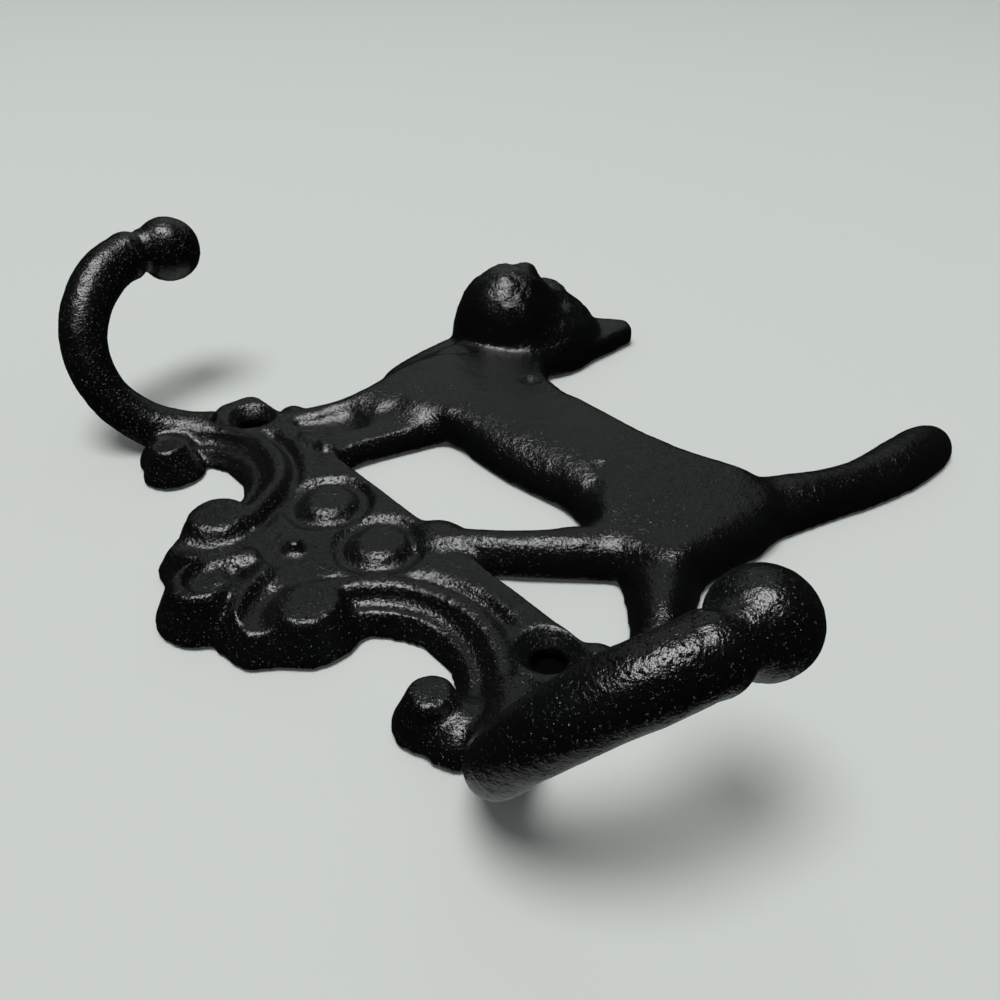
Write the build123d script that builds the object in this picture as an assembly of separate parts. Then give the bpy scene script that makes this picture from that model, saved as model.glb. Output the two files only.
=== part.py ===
from build123d import *
import os

# Cast-iron double coat hook: a cat standing on a scrolled plate, an arm with a knob at each end.
# Drawn lying on its back: x to the right, y up the wall, z out of the wall. Stood up at the end.

# Fixing holes
hole_spacing = 90.0
hole_diameter = 5.6
countersink_diameter = 10.4

# Plate
plate_length = 107.0
plate_thickness = 4.65
plate_top = 5.3
plate_bottom = -5.0
plate_edge = 0.9

# Moulding of the two C-scrolls: groove, flat rim, steep cove and ridge, outside to inside.
# The scrolls slope down to the plate ends.
groove_width = 2.6
groove_floor = 3.7
rim_height = 6.6
rim_width = 3.6
cove_height = 4.0
ridge_height = 4.4
ridge_offset = 7.2
moulding_width = 10.0
scroll_slope = 2.0

# Run of each C-scroll: arch, straight run to the inner curl, turn at the plate's end
arch_x, arch_y = 32.0, -23.7
arch_radius = 22.0
arch_start, arch_end = 30.0, 148.0
straight_run = 7.0
turn_radius = 10.5
end_turn_end = -5.0

# Curls that end the scrolls: place, foot, flat top and height
end_curl_x, end_curl_y = 41.8, -19.3
end_curl_radius, end_curl_top, end_curl_height = 6.3, 2.4, 6.9
inner_curl_x, inner_curl_y = 14.9, -22.4
inner_curl_radius, inner_curl_top, inner_curl_height = 8.6, 4.2, 6.9

# Palmette under the plate: a scooped middle petal between two scooped side petals
petal_y = -32.8
petal_radius, petal_top, petal_height = 8.5, 4.0, 7.6
petal_floor = 4.4
side_petal_height = 6.4
side_petal_floor = 3.8

# Volutes on the plate face
volute_x, volute_y = 8.0, -4.6
volute_radius = 6.6
volute_groove = 2.0
volute_eye = 5.2

# Arms and knobs
arm_radius = 4.3
arm_root_radius = 6.5
neck_bead = 5.0
bead_place = 0.865
knob_radius = 6.7

# Cat
body_thickness = 8.2
body_round = 4.8
crown_radius = 110.0
crease = 1.5
head_x, head_y = -38.0, 70.5
ear_thickness = 4.9
ear_round = 2.2


def dome(radius, height, top):
    # round button with a flat top, a softened rim and a steep side
    line = Polyline((radius, 0), (radius, -2), (0, -2), (0, height), (top, height))
    line += ThreePointArc((top, height), (top + 0.8, height - 0.3), (top + 1.2, height - 1.1))
    line += Line((top + 1.2, height - 1.1), (radius, 0))
    return revolve(make_face(Plane.XZ * line), Axis.Z)


def moulding(outer):
    # section of the scroll moulding, its outer edge at this distance from the turning axis
    foot, shoulder = (outer, groove_floor - 0.8), (outer - 1.5, rim_height)
    lip, cove = (outer - rim_width, rim_height - 0.2), (outer - ridge_offset + 1.0, cove_height)
    ridge, inner = (outer - ridge_offset, ridge_height), (outer - moulding_width, 0)
    line = Polyline(inner, (outer - moulding_width, -2.5), (outer, -2.5), foot)
    line += ThreePointArc(foot, (outer - 0.4, rim_height - 0.9), shoulder)
    line += Line(shoulder, lip)
    line += ThreePointArc(lip, (outer - rim_width - 0.8, cove_height + 0.9), cove)
    line += Polyline(cove, ridge, inner)
    return make_face(Plane.XZ * line)


def clearing(outer):
    # section cut from the plate along the moulding: a slope down to the groove, and room for the rim
    high = plate_thickness + 4
    return make_face(Plane.XZ * Polyline((outer + groove_width, plate_thickness + 0.3), (outer, groove_floor),
                                         (outer - 3, groove_floor), (outer - 3, high),
                                         (outer + groove_width, high), close=True))


def turned(section, start, end):
    return Rot(0, 0, start) * revolve(section, Axis.Z, end - start)


def scroll_run(section):
    # one section turned round the arch, run straight to the inner curl, and turned at the plate's end
    middle = Vector(arch_x, arch_y)
    run = Pos(middle) * turned(section(arch_radius), arch_start, arch_end)
    run += Pos(middle) * Rot(0, 0, arch_end) * extrude(section(arch_radius), straight_run, dir=(0, 1, 0))
    end_turn = middle + Vector(arch_radius - turn_radius, 0).rotate(Axis.Z, arch_start)
    run += Pos(end_turn) * turned(section(turn_radius), end_turn_end, arch_start)
    return Pos(volute_x, 0) * Rot(0, scroll_slope, 0) * Pos(-volute_x, 0) * run


def limb(stations):
    # rounded limb through stations of x, y, half width and height off the wall
    sections = []
    for i, (x, y, half, high) in enumerate(stations):
        x0, y0 = stations[max(i - 1, 0)][:2]
        x1, y1 = stations[min(i + 1, len(stations) - 1)][:2]
        along = Vector(x1 - x0, y1 - y0, 0)
        across = Vector(y0 - y1, x1 - x0, 0)
        sections.append(Plane((x, y, 0), x_dir=across, z_dir=along) * Ellipse(half, high))
    return loft(sections)


def egg(x, y, z, rx, ry, rz):
    return Pos(x, y, z) * scale(Sphere(1), by=(rx, ry, rz))


def both(shape):
    return shape + mirror(shape, Plane.YZ)


# Plate with a softened front edge, and the panel between the scrolls, both cleared for the mouldings
plate = extrude(Pos(0, (plate_top + plate_bottom) / 2)
                * RectangleRounded(plate_length, plate_top - plate_bottom, 3), amount=plate_thickness)
plate = fillet(plate.faces().sort_by(Axis.Z)[-1].edges(), plate_edge)
half_panel = Polyline((0, -3.5), (20, -3.5), (20, -7.1), (13.5, -13.5), (10.5, -18.5), (8, -23), (0, -26), close=True)
plate += both(extrude(make_face(half_panel), amount=plate_thickness))
inner_curl = Pos(inner_curl_x, inner_curl_y)
plate -= both(scroll_run(clearing) + inner_curl * turned(clearing(inner_curl_top + 1.4), arch_end, 250))

# Volute on the plate face: round groove and domed eye
plate -= both(Pos(volute_x, volute_y, plate_thickness + 0.9) * Torus(volute_radius, volute_groove))
plate += both(egg(volute_x, volute_y, plate_thickness - 0.9, volute_eye, volute_eye, 2.2))

# C-scroll with its two curls, and the swell that ties the end curl to the arm
scroll = scroll_run(moulding)
scroll += inner_curl * dome(inner_curl_radius, inner_curl_height, inner_curl_top)
scroll += Pos(end_curl_x, end_curl_y) * dome(end_curl_radius, end_curl_height, end_curl_top)
scroll += egg(end_curl_x + 4.7, end_curl_y + 1.7, 0, 6, 6.2, 5.4)

# Side petal: foot and top outlines, its face scooped down from the ridge towards the inner curl
foot = Polyline((-1, -21), (1.5, -31), (8.5, -36.2), (15.8, -35), (18.8, -30.5), (10, -18), close=True)
ridge = Polyline((0, -22.5), (4.4, -29), (8.6, -31.8), (12.8, -31.6), (15, -28), (8, -21), close=True)
side_petal = loft([make_face(foot), Pos(0, 0, side_petal_height) * make_face(ridge)], ruled=True)
scoop = egg(0, 0, side_petal_height + 0.4, 4.2, 8.2, side_petal_height + 0.4 - side_petal_floor)
side_petal -= Pos(9.6, -25.6) * Rot(0, 0, 35) * scoop

# Middle petal with a scooped face, and the pointed drop under the volutes
petal = Pos(0, petal_y) * dome(petal_radius, petal_height, petal_top)
petal -= egg(0, petal_y + 2.2, petal_height, 4.4, 4.7, petal_height - petal_floor)
drop = Pos(0, -16) * Rot(0, 0, 45) * extrude(Rectangle(6.4, 6.4), amount=plate_thickness + 1.9, taper=20)

# Arm swept along its curve, thicker at the root, with the neck bead and the knob
curve = Spline((48, -8, 0), (54, -16.2, 3.8), (59.5, -22.4, 10.8), (65, -23.1, 19.9), (70.8, -17.7, 27.6),
               (75.5, -8.6, 31.4), (76.2, 1.8, 30.9))
radii = [(0.0, arm_root_radius), (0.18, arm_radius + 0.4), (0.5, arm_radius + 0.1), (1.0, arm_radius - 0.2)]
arm = sweep([(curve ^ t) * Circle(r) for t, r in radii], curve, multisection=True)
arm += (curve ^ bead_place) * Sphere(neck_bead)
arm += (curve ^ 1) * Sphere(knob_radius)

casting = plate + both(side_petal) + both(scroll) + petal + drop + both(arm)

# Cat's body: one outline, rounded over at the front and crowned
outline = Spline((-38, 29), (-40.5, 38), (-41, 47), (-40.5, 56), (-35, 62), (-24, 63), (-14.5, 56.3),
                 (-6, 54), (8, 53.4), (19, 53.6), (27, 55.3), (35, 57.8), (42, 58), (47.4, 54.5),
                 (49.6, 47), (49.2, 38), (47, 28), (38, 23.4), (28, 26), (20, 29.2),
                 (8, 28.2), (-6, 27.8), (-15, 27.5), (-23, 24.5), (-32, 24.5), periodic=True)
body = extrude(make_face(outline), amount=body_thickness)
body = fillet(body.faces().sort_by(Axis.Z)[-1].edges(), body_round)
body &= Pos(0, 42, body_thickness - crown_radius) * Rot(0, 90, 0) * Cylinder(crown_radius, 200)

# Tail, then near and far front legs, then near and far hind legs
tail = limb([(38.5, 50.5, 10, 6.4), (44.2, 61, 7, 6.8), (48, 71, 5.7, 6.2), (50, 80, 5.8, 6),
             (50.7, 89, 6.2, 6), (50.5, 97, 5.9, 5.6), (50, 102.2, 4.6, 4.6), (49.6, 104.6, 2.6, 2.6)])
near_front = limb([(-21, 30, 6.5, 6.5), (-21.8, 22, 5, 6), (-23.3, 14, 4.4, 5.8), (-24.4, 4, 4.6, 5.8)])
far_front = limb([(-41.5, 57, 5, 6), (-42, 46, 5.6, 6), (-39.6, 36, 6, 6), (-36.4, 27.5, 5, 5.6),
                  (-35.6, 21, 4, 5.2), (-37.4, 14, 3.6, 5), (-39.6, 9, 3.6, 4.6), (-41, 5, 3.6, 4.4)])
near_hind = limb([(36, 31, 10, 6.4), (30.5, 22.5, 6, 7), (26, 16, 4.7, 6.9), (20, 10, 4.4, 6.4),
                  (13, 4.5, 4.2, 5.6)])
far_hind = limb([(42.5, 28, 8, 6), (48.4, 21.5, 5.8, 6.2), (53, 15.5, 4.8, 6), (54.8, 10, 4.4, 5.8),
                 (53.5, 4, 4.6, 5.6)])
web = extrude(make_face(Polyline((-38, 4), (-22, 4), (-20, 27), (-37, 27), close=True)), amount=2.6)
casting += body + tail + near_front + far_front + near_hind + far_hind + web

# Paws: place, half length, half height up the wall and height off the wall
for x, y, length, up, out in [(-29, 4.7, 7.2, 4.8, 5.4), (-42, 8.4, 5.6, 3.6, 4.4), (13, 4.7, 7.8, 6.4, 5.9),
                              (51, 4.7, 5.4, 4.4, 5.6)]:
    casting += egg(x, y, 0, length, up, out)

# Head: skull, brow and nose, the muzzle turned about its own axis, then the eye sockets
casting += egg(head_x, head_y, 1, 17.8, 18, 14)
casting += egg(head_x, head_y + 6, 7.5, 9, 6.5, 8.2)
casting += egg(head_x, head_y - 0.4, 17.2, 3.4, 3, 4.2)
flank = Spline((13.4, 0), (13.2, 7), (11.6, 13), (8, 18.4), (3.6, 21.4), (0, 22), tangents=[(0, 1), (-1, 0)])
muzzle = revolve(make_face(Plane.XZ * (flank + Polyline((0, 22), (0, 0), (13.4, 0)))), Axis.Z)
casting += Pos(head_x, head_y - 6) * muzzle
for side in (1, -1):
    casting -= egg(head_x + side * 8.6, head_y + 4, 14.2, 3, 2.4, 2.6)

# Ears
ear = extrude(make_face(Polyline((2, 9), (4.6, 17), (11.4, 23.2), (16, 20.8), (17, 3), close=True)),
              amount=ear_thickness)
ear = fillet(ear.edges().filter_by(Axis.Z), ear_round)
ear = fillet(ear.faces().sort_by(Axis.Z)[-1].edges(), 1.2)
casting += Pos(head_x, head_y) * both(ear)

# Crease behind the near shoulder, fading out at both ends
casting -= Pos(-22, 31, body_thickness + 0.3) * Rot(0, 0, -26) * egg(0, 0, 0, crease, 7, crease)

# Flat back and countersunk screw holes
casting -= Pos(0, 30, -50) * Box(300, 300, 100)
sink_depth = (countersink_diameter - hole_diameter) / 2
for side in (1, -1):
    casting -= Pos(side * hole_spacing / 2, 0) * Cylinder(hole_diameter / 2, 40)
    casting -= Pos(side * hole_spacing / 2, 0, plate_thickness - sink_depth / 2) * Cone(
        hole_diameter / 2, countersink_diameter / 2, sink_depth)
    casting -= Pos(side * hole_spacing / 2, 0, plate_thickness + 3) * Cylinder(countersink_diameter / 2, 6)

cat_coat_hook = Rot(90, 0, 0) * casting
os.makedirs("parts", exist_ok=True)
export_step(cat_coat_hook, "parts/cat_coat_hook.step")
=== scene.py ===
import bpy, math
import numpy as np
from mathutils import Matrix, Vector, noise


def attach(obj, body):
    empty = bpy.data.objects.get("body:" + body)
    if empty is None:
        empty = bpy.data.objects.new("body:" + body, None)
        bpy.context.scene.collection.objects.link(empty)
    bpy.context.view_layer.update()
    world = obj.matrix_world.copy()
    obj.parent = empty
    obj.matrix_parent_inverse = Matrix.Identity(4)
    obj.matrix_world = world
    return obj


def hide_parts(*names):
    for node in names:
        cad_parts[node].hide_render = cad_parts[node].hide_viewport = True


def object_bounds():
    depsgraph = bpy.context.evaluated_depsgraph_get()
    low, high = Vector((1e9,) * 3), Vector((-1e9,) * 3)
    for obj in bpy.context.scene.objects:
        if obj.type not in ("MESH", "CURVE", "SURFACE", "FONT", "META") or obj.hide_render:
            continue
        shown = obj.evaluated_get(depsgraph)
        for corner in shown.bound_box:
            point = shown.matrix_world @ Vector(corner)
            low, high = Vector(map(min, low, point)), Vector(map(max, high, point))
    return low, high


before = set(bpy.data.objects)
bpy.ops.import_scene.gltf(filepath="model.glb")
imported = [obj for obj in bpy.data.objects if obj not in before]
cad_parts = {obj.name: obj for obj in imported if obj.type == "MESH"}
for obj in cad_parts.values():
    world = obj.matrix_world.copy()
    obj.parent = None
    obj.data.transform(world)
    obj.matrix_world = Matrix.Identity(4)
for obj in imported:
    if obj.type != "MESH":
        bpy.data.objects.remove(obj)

mm = 0.001
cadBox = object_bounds()
scene = bpy.context.scene
print("frame loaded:", list(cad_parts))


def linear(hexText):
    # sRGB hex to the linear RGBA that Blender's sockets take
    channels = [int(hexText[i:i + 2], 16) / 255 for i in (0, 2, 4)]
    return [c / 12.92 if c <= 0.04045 else ((c + 0.055) / 1.055) ** 2.4 for c in channels] + [1.0]


def addNode(tree, kind, links=None, inputs=None, **settings):
    # one shader node: its settings, its input values, and the outputs that feed it
    node = tree.nodes.new(kind)
    for name, value in settings.items():
        setattr(node, name, value)
    for name, value in (inputs or {}).items():
        node.inputs[name].default_value = value
    for name, output in (links or {}).items():
        tree.links.new(output, node.inputs[name])
    return node


def emptyTree(owner):
    # the cleared node tree of a material or of the world
    owner.use_nodes = True
    owner.node_tree.nodes.clear()
    return owner.node_tree


def addMesh(name, corners, faces):
    mesh = bpy.data.meshes.new(name)
    mesh.from_pydata(corners, [], faces)
    piece = bpy.data.objects.new(name, mesh)
    scene.collection.objects.link(piece)
    return piece


# painted iron casting, with the smoothing passes that each part of it gets
casting = {
    "voxel": 0.62 * mm,
    "soften": {"cat": 20, "head": 6, "plate": 4, "blends": 60, "feet": 25},
    "triangles": 180000,
}
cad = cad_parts["cat_coat_hook"]
hook = bpy.data.objects.new("painted_casting", cad.data.copy())
scene.collection.objects.link(hook)
hook.data.materials.clear()
bpy.context.view_layer.objects.active = hook


def applyModifier(kind, **settings):
    modifier = hook.modifiers.new(kind.lower(), kind)
    for name, value in settings.items():
        setattr(modifier, name, value)
    bpy.ops.object.modifier_apply(modifier=modifier.name)


def soften(group, passes):
    applyModifier("SMOOTH", factor=0.5, iterations=passes, vertex_group=group)


def readVectors(name):
    # the points ("co") or their normals ("normal"), one row each
    flat = np.empty(len(hook.data.vertices) * 3, np.float32)
    hook.data.vertices.foreach_get(name, flat)
    return flat.reshape(-1, 3).astype(float)


def writePoints(points):
    hook.data.vertices.foreach_set("co", points.astype(np.float32).ravel())
    hook.data.update()


def weightGroup(name, weights):
    # weights go in steps of a tenth
    weights = np.round(weights, 1)
    group = hook.vertex_groups.new(name=name)
    for level in np.unique(weights):
        if level > 0:
            group.add(np.nonzero(weights == level)[0].tolist(), float(level), "REPLACE")


def countTriangles():
    return sum(len(p.vertices) - 2 for p in hook.data.polygons)


def seenFromFront(points):
    # in mm: the spots across and up, and how far each one stands out from the wall
    return points[:, [0, 2]] / mm, -points[:, 1] / mm


def ramp(value, start, full):
    # 0 at start, 1 at full, straight in between
    return np.clip((value - start) / (full - start), 0, 1)


def standingOut(out, start):
    # fades in over a millimetre, so that what lies nearer the wall stays as it is
    return ramp(out, start, start + 1)


def distanceTo(path, spots):
    # shortest distance from each spot to a path, all seen from the front
    reach = np.full(len(spots), np.inf)
    for start, end in zip(path, path[1:]):
        start, along = np.array(start), np.subtract(end, start)
        t = np.clip((spots - start) @ along / (along @ along), 0, 1)
        reach = np.minimum(reach, np.linalg.norm(spots - start - t[:, None] * along, axis=1))
    return reach


# the ground round each screw hole is whole: a ring that holds the countersink,
# cut off along the plate's top edge, with its section as radius and height in mm
holePlace = 45  # mm from the middle to each screw hole
boss = {
    "section": [(2.8, 0), (2.8, 2.25), (5.2, 4.65), (5.7, 4.65), (9.0, 3.6), (9.0, 0)],
    "top": 5.3,
    "steps": 48,
}
corners, faces = [], []
count = len(boss["section"])
for side in (-1, 1):
    first = len(corners)
    for step in range(boss["steps"]):
        turn = 2 * math.pi * step / boss["steps"]
        for radius, high in boss["section"]:
            across = side * holePlace + radius * math.cos(turn)
            up = min(radius * math.sin(turn), boss["top"])
            corners.append((across * mm, -high * mm, up * mm))
        here = first + step * count
        after = first + (step + 1) % boss["steps"] * count
        for i in range(count):
            j = (i + 1) % count
            faces.append((here + i, here + j, after + j, after + i))
bosses = addMesh("screw_bosses", corners, faces)
bpy.ops.object.select_all(action="DESELECT")
hook.select_set(True)
bosses.select_set(True)
bpy.ops.object.join()
applyModifier("REMESH", mode="VOXEL", voxel_size=casting["voxel"], adaptivity=0.0)
print("remeshed:", len(hook.data.vertices), "points")

# the modelling is laid out in mm: x across, z up, and out from the wall
points = readVectors("co")
spots, out = seenFromFront(points)
x, z = spots.T

# the chest runs down between the front legs in one slope
chest = {"left": -36.5, "right": -22.5, "low": 18, "high": 28, "outLow": 5.6, "outHigh": 7.6, "offWall": 1.6}
slope = chest["outLow"] + ramp(z, chest["low"], chest["high"]) * (chest["outHigh"] - chest["outLow"])
onChest = (x > chest["left"]) & (x < chest["right"]) & (out > chest["offWall"])
onChest &= (z > chest["low"]) & (z < chest["high"])
points[:, 1] = np.where(onChest, np.minimum(points[:, 1], -slope * mm), points[:, 1])

# the far front leg's outer edge is drawn in below the chest
farEdge = {"height": 26, "spread": 5, "below": 40, "inside": -36, "most": 8, "share": 0.3}
pull = np.exp(-((z - farEdge["height"]) / farEdge["spread"]) ** 2) * farEdge["share"]
pull *= z < farEdge["below"]
points[:, 0] += np.clip(farEdge["inside"] - x, 0, farEdge["most"]) * pull * mm
writePoints(points)

# the cat is modelled softly, the scrolls stay crisper and the rims of the screw holes stay as they are
regions = {"cat": (3, 9), "head": (55, 61), "headSide": -15, "headOut": 5, "holeRim": 6.2}
spots, out = seenFromFront(points)
x, z = spots.T
catWeight = np.round(ramp(z, *regions["cat"]), 1)
onHead = (x < regions["headSide"]) & (out > regions["headOut"])
headWeight = np.round(ramp(z, *regions["head"]) * onHead, 1)
fromHole = np.hypot(abs(x) - holePlace, z)
weightGroup("cat", catWeight)
weightGroup("head", headWeight)
weightGroup("plate", (1 - catWeight) * (fromHole > regions["holeRim"]))

# where limbs run into the body the modelling flows: a path, and how far the flow reaches
blends = [
    ([(-16, 28.5), (4, 28.5), (21, 29.5)], 6),  # belly
    ([(48, 25), (40, 21)], 8),  # fork of the hind legs
    ([(41, 56), (47, 62)], 9),  # tail, outer side
    ([(29, 56), (37, 63)], 6),  # tail, inner side
    ([(-20, 31), (-24, 26)], 6),  # near front leg
    ([(-28, 62), (-20, 61)], 5),  # nape
    ([(28, 24), (34, 27)], 6),  # near hind leg
    ([(-41, 34), (-33, 24)], 7),  # chest
    ([(-31, 28), (-29, 16)], 6),  # between the front legs
    ([(0, -26), (0, -31)], 3),  # middle petal
    ([(6, -22), (12, -29)], 2.5),  # side petals
    ([(-6, -22), (-12, -29)], 2.5),
]
fullWithin, noneBeyond = 0.4, 1.4  # shares of the reach
flow = [ramp(distanceTo(path, spots) / reach, noneBeyond, fullWithin) for path, reach in blends]
weightGroup("blends", np.max(flow, axis=0) * standingOut(out, 0))

# the drawn-out feet of the palmette and the curls are rounder than their tops
feet = {"height": (-15, -18), "out": (4, 2), "inside": 47}
weightGroup("feet", ramp(z, *feet["height"]) * ramp(out, *feet["out"]) * (abs(x) < feet["inside"]))
for group, passes in casting["soften"].items():
    soften(group, passes)

# carving: lumps with their place x, z and out, the size each way, and the height, which is below 0 for a pit
carving = {
    "lumps": [
        (-13.9, 49.6, 8, 2.4, 2.4, 4, -0.9),  # shoulder
        (-29.4, 74.5, 14, 2.6, 2.0, 4, 0.6),  # eyes
        (-46.6, 74.5, 14, 2.6, 2.0, 4, 0.6),
        (-38, 70.4, 20, 3.4, 3.0, 5, 0.5),  # muzzle
        (8, -4.2, 6, 4.2, 4.2, 3, -0.8),  # volutes
        (-8, -4.2, 6, 4.2, 4.2, 3, -0.8),
        (0, -27.6, 5, 3.6, 2.2, 4, -0.8),  # middle petal
    ],
    "grooves": [  # path, width and depth
        ([(-34.3, 46.8), (-37.6, 42.7), (-38.7, 37), (-37.8, 33)], 1.6, 0.5),  # chest
        ([(19.2, 36.9), (24, 30.5), (27.8, 24.9)], 1.8, 0.5),  # thigh
    ],
    "grooveOut": 3,
    "fills": [  # path, width and height
        ([(46, 27), (50, 19)], 5, 1.3),  # far hind leg
        ([(-38, 32), (-36, 20)], 4.5, 0.8),  # far front leg
        ([(0, 53), (20, 52.5), (36, 56)], 4, 0.9),  # back
        ([(0, -29.5), (0, -31)], 2.5, 0.9),  # middle petal
    ],
    "fillOut": 1.6,
}
points, normals = readVectors("co"), readVectors("normal")
spots, out = seenFromFront(points)
x, z = spots.T
for atX, atZ, atOut, sizeX, sizeZ, sizeOut, height in carving["lumps"]:
    away = ((x - atX) / sizeX) ** 2 + ((z - atZ) / sizeZ) ** 2 + ((out - atOut) / sizeOut) ** 2
    points += normals * (np.clip(1 - away, 0, 1) ** 2 * height * mm)[:, None]
for path, width, depth in carving["grooves"]:
    cut = np.exp(-(distanceTo(path, spots) / width) ** 2) * standingOut(out, carving["grooveOut"])
    points -= normals * (cut * depth * mm)[:, None]
for path, width, height in carving["fills"]:
    raised = np.exp(-(distanceTo(path, spots) / width) ** 2) * standingOut(out, carving["fillOut"])
    points[:, 1] -= raised * height * mm

# the near front leg has a flat top that fades out where the leg meets the body
shin = {
    "path": [(-21.8, 22), (-23.3, 14), (-24.4, 6)],
    "width": 6,
    "low": 6,
    "fade": (26, 20),
    "top": 4.7,
    "share": 0.8,
}
onShin = (distanceTo(shin["path"], spots) < shin["width"]) & (z > shin["low"])
excess = np.clip(-points[:, 1] / mm - shin["top"], 0, None) * ramp(z, *shin["fade"])
points[:, 1] += onShin * excess * shin["share"] * mm

# the flank rolls under along the belly
belly = {"roll": (38, 27.5), "above": 20, "front": (-16, 14), "hind": (25, 21), "share": 0.52}
roll = ramp(z, *belly["roll"]) ** 2 * (z > belly["above"])
roll *= ramp(x, *belly["front"]) * ramp(x, *belly["hind"])
points[:, 1] *= 1 - roll * belly["share"]

# a groove round each knob's neck
neck = {"height": -4.4, "width": 0.9, "depth": 0.5, "beyond": 66, "outFrom": 22}
onNeck = np.exp(-((z - neck["height"]) / neck["width"]) ** 2)
onNeck *= (abs(x) > neck["beyond"]) & (out > neck["outFrom"])
points -= normals * (onNeck * neck["depth"] * mm)[:, None]
writePoints(points)

# what was filled between the front legs settles into one surface
settled = {"path": [(-31, 25), (-27, 18)], "fade": (6, 2), "outFrom": 2, "passes": 30}
nearPath = ramp(distanceTo(settled["path"], spots), *settled["fade"])
weightGroup("settled", nearPath * standingOut(out, settled["outFrom"]))
soften("settled", settled["passes"])
print("modelled and carved")

# sand mould: the skin wanders a little, more on the head, and not at all on the flat back
skin = {
    "swing": 0.10 * mm,
    "headSwing": 0.38 * mm,
    "scale": 5.0 * mm,
    "waves": (0.6, 2.1, 3),  # how fast the finer ones fall off, how much finer each is, and how many
    "fade": (0, 1.5),
}
points, normals = readVectors("co"), readVectors("normal")
wander = np.array([noise.fractal(Vector(p) / skin["scale"], *skin["waves"]) for p in points])
swing = skin["swing"] + headWeight * (skin["headSwing"] - skin["swing"])
offBack = ramp(seenFromFront(points)[1], *skin["fade"])
points += normals * (wander * offBack * swing)[:, None]
writePoints(np.clip(points, np.array(cadBox[0]), np.array(cadBox[1])))
print("roughened")

applyModifier("DECIMATE", ratio=min(1.0, casting["triangles"] / countTriangles()))
hook.data.shade_smooth()
hook.vertex_groups.clear()
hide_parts("cat_coat_hook")
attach(hook, "root")
print("casting:", countTriangles(), "triangles")

# satin black paint over sand-cast iron: near black, with a fine grain that glints along the rounded edges
# the grain is drawn coarser than real moulding sand, so that it shows
paint = {
    "grain": 0.5 * mm,
    "grainDepth": 0.13 * mm,
    "sand": 0.55 * mm,
    "sandHeight": 0.16 * mm,
    "sandCoarse": 4 * mm,  # single grains stand up fully below this height
    "sandFine": 14 * mm,  # and only a little above this one
    "pits": 1.6 * mm,
    "pitDepth": 0.2 * mm,
    "patches": 14 * mm,
    "roughness": (0.18, 0.26),
    "stops": [(0.35, "0b0908"), (0.65, "0b0d0d")],
}
iron = bpy.data.materials.new("satin_black_paint_on_sand_cast_iron")
tree = emptyTree(iron)
place = addNode(tree, "ShaderNodeTexCoord").outputs["Object"]
grain = addNode(tree, "ShaderNodeTexNoise", {"Vector": place},
                {"Scale": 1 / paint["grain"], "Detail": 2.0, "Roughness": 0.6})
sand = addNode(tree, "ShaderNodeTexVoronoi", {"Vector": place}, {"Scale": 1 / paint["sand"]})
grains = addNode(tree, "ShaderNodeMapRange", {"Value": sand.outputs["Distance"]},
                 {"From Min": 0.1, "From Max": 0.5, "To Min": 1.0, "To Max": 0.0},
                 interpolation_type="SMOOTHSTEP")
spread = addNode(tree, "ShaderNodeMapRange", {"Value": grain.outputs["Fac"]},
                 {"From Min": 0.52, "From Max": 0.62, "To Min": 0.0, "To Max": 1.0})
pimples = addNode(tree, "ShaderNodeMath", {0: grains.outputs["Result"], 1: spread.outputs["Result"]},
                  operation="MULTIPLY")
pits = addNode(tree, "ShaderNodeTexVoronoi", {"Vector": place}, {"Scale": 1 / paint["pits"]})
patches = addNode(tree, "ShaderNodeTexNoise", {"Vector": place},
                  {"Scale": 1 / paint["patches"], "Detail": 3.0})
sheen = addNode(tree, "ShaderNodeMapRange", {"Value": patches.outputs["Fac"]},
                {"From Min": 0.3, "From Max": 0.7,
                 "To Min": paint["roughness"][0], "To Max": paint["roughness"][1]})
colour = addNode(tree, "ShaderNodeValToRGB", {"Fac": patches.outputs["Fac"]})
for stop, (position, hexText) in zip(colour.color_ramp.elements, paint["stops"]):
    stop.position = position
    stop.color = linear(hexText)
pitBump = addNode(tree, "ShaderNodeBump", {"Height": pits.outputs["Distance"]},
                  {"Strength": 0.45, "Distance": paint["pitDepth"]})
grainBump = addNode(tree, "ShaderNodeBump",
                    {"Height": grain.outputs["Fac"], "Normal": pitBump.outputs["Normal"]},
                    {"Strength": 1.0, "Distance": paint["grainDepth"]})
height = addNode(tree, "ShaderNodeSeparateXYZ", {"Vector": place}).outputs["Z"]
coarse = addNode(tree, "ShaderNodeMapRange", {"Value": height},
                 {"From Min": paint["sandCoarse"], "From Max": paint["sandFine"],
                  "To Min": 1.0, "To Max": 0.25})
pimpleBump = addNode(tree, "ShaderNodeBump",
                     {"Height": pimples.outputs["Value"], "Strength": coarse.outputs["Result"],
                      "Normal": grainBump.outputs["Normal"]},
                     {"Distance": paint["sandHeight"]})
coat = addNode(tree, "ShaderNodeBsdfPrincipled",
               {"Base Color": colour.outputs["Color"], "Roughness": sheen.outputs["Result"],
                "Normal": pimpleBump.outputs["Normal"]},
               {"Specular IOR Level": 0.7})
addNode(tree, "ShaderNodeOutputMaterial", {"Surface": coat.outputs["BSDF"]})
hook.data.materials.append(iron)
print("paint done")

# pale wall that the hook lies against, seen only from its front
wallLook = {"half": 6, "behind": 0.3 * mm, "tint": "dfe4e0", "glow": 0.03}
half = wallLook["half"]
corners = [(-half, 0, -half), (half, 0, -half), (half, 0, half), (-half, 0, half)]
wall = addMesh("wall", corners, [(0, 1, 2, 3)])
wall.location.y = wallLook["behind"]
wall.visible_diffuse = wall.visible_glossy = wall.visible_shadow = False

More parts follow.
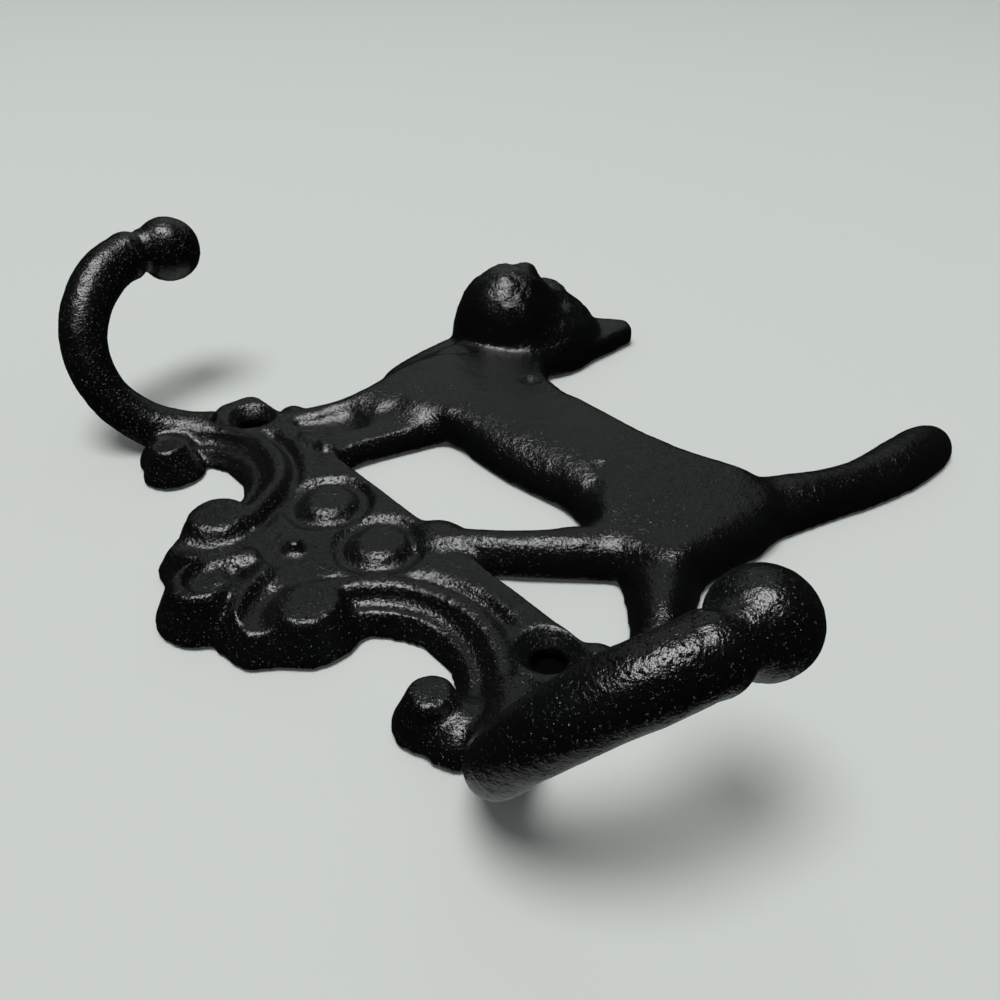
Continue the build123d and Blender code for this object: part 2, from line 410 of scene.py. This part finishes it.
# matt pale plaster: an even ground without shine that keeps soft shadows,
# with a faint glow for the light that comes off a room
plaster = bpy.data.materials.new("matt_pale_plaster")
tree = emptyTree(plaster)
behind = addNode(tree, "ShaderNodeNewGeometry").outputs["Backfacing"]
matt = addNode(tree, "ShaderNodeBsdfDiffuse", inputs={"Color": linear(wallLook["tint"])})
glow = addNode(tree, "ShaderNodeEmission",
               inputs={"Color": linear(wallLook["tint"]), "Strength": wallLook["glow"]})
face = addNode(tree, "ShaderNodeAddShader", {0: matt.outputs["BSDF"], 1: glow.outputs["Emission"]})
clear = addNode(tree, "ShaderNodeBsdfTransparent")
oneSided = addNode(tree, "ShaderNodeMixShader",
                   {0: behind, 1: face.outputs["Shader"], 2: clear.outputs["BSDF"]})
addNode(tree, "ShaderNodeOutputMaterial", {"Surface": oneSided.outputs["Shader"]})
wall.data.materials.append(plaster)

# painted shade: dark discs on the wall behind the two screw holes, for the shade seen down through them
holeShade = {"radius": 4.5 * mm, "behind": 0.25 * mm, "steps": 32}
rims = []
for side in (-1, 1):
    for step in range(holeShade["steps"]):
        turn = 2 * math.pi * step / holeShade["steps"]
        across = side * holePlace * mm + holeShade["radius"] * math.cos(turn)
        rims.append((across, holeShade["behind"], holeShade["radius"] * math.sin(turn)))
discs = [range(holeShade["steps"]), range(holeShade["steps"], 2 * holeShade["steps"])]
holeShadeDiscs = addMesh("painted_hole_shade", rims, discs)

# painted shade behind the screw holes: almost black and without shine
dark = bpy.data.materials.new("painted_hole_shade_black")
tree = emptyTree(dark)
shade = addNode(tree, "ShaderNodeBsdfPrincipled",
                inputs={"Base Color": linear("0a0a0a"), "Roughness": 1.0, "Specular IOR Level": 0.0})
addNode(tree, "ShaderNodeOutputMaterial", {"Surface": shade.outputs["BSDF"]})
holeShadeDiscs.data.materials.append(dark)
print("wall done")


def softbox(name, place, target, size, power, tint):
    # a round area light, in metres and watts
    lamp = bpy.data.lights.new(name, "AREA")
    lamp.shape, lamp.size, lamp.energy, lamp.color = "DISK", size, power, linear(tint)[:3]
    light = bpy.data.objects.new(name, lamp)
    light.location = place
    light.rotation_euler = (Vector(target) - Vector(place)).to_track_quat("-Z", "Y").to_euler()
    scene.collection.objects.link(light)
    return light


# the key is for the paint's gloss, the overhead and ceiling lights for the wall and its shadows,
# the sheen is a dim far panel that the flat faces mirror, and the last one lights the back
aim = (0, 0, 0.02)
softbox("key", (-0.05, -2.4, -0.2), aim, 1.5, 46.0, "ffffff").visible_diffuse = False
softbox("overhead", (0, -2.3, -0.34), aim, 1.3, 36.0, "ffffff").visible_glossy = False
softbox("ceiling", (0, -1.5, 0), (0, 0, 0), 7.0, 18.0, "ffffff").visible_glossy = False
softbox("sheen", (-1.55, -1.45, 1.32), aim, 2.6, 4.0, "e8f8f2")
softbox("back", (0, 1.5, 0.03), (0, 0, 0.03), 2.0, 3.0, "f4f8f6")

# low world light, with a pale backdrop for the camera
world = bpy.data.worlds.new("studio")
scene.world = world
tree = emptyTree(world)
seen = addNode(tree, "ShaderNodeLightPath").outputs["Is Camera Ray"]
fill = addNode(tree, "ShaderNodeBackground", inputs={"Color": linear("e8ecee"), "Strength": 0.012})
backdrop = addNode(tree, "ShaderNodeBackground", inputs={"Color": linear("dfe2e1"), "Strength": 0.8})
either = addNode(tree, "ShaderNodeMixShader",
                 {0: seen, 1: fill.outputs["Background"], 2: backdrop.outputs["Background"]})
addNode(tree, "ShaderNodeOutputWorld", {"Surface": either.outputs["Shader"]})
scene.view_settings.view_transform = "Standard"

# camera at the photograph's angle
view = {
    "place": (0.11381, -0.10041, -0.06803),
    "turn": (144.157, -49.317, 0.409),
    "lens": 33.0,
    "sensor": 36.0,
    "clip": (0.005, 20),
}
lens = bpy.data.cameras.new("camera")
lens.sensor_width, lens.lens = view["sensor"], view["lens"]
lens.clip_start, lens.clip_end = view["clip"]
camera = bpy.data.objects.new("camera", lens)
camera.location = view["place"]
camera.rotation_euler = [math.radians(a) for a in view["turn"]]
scene.collection.objects.link(camera)
scene.camera = camera
print("lights and camera set")
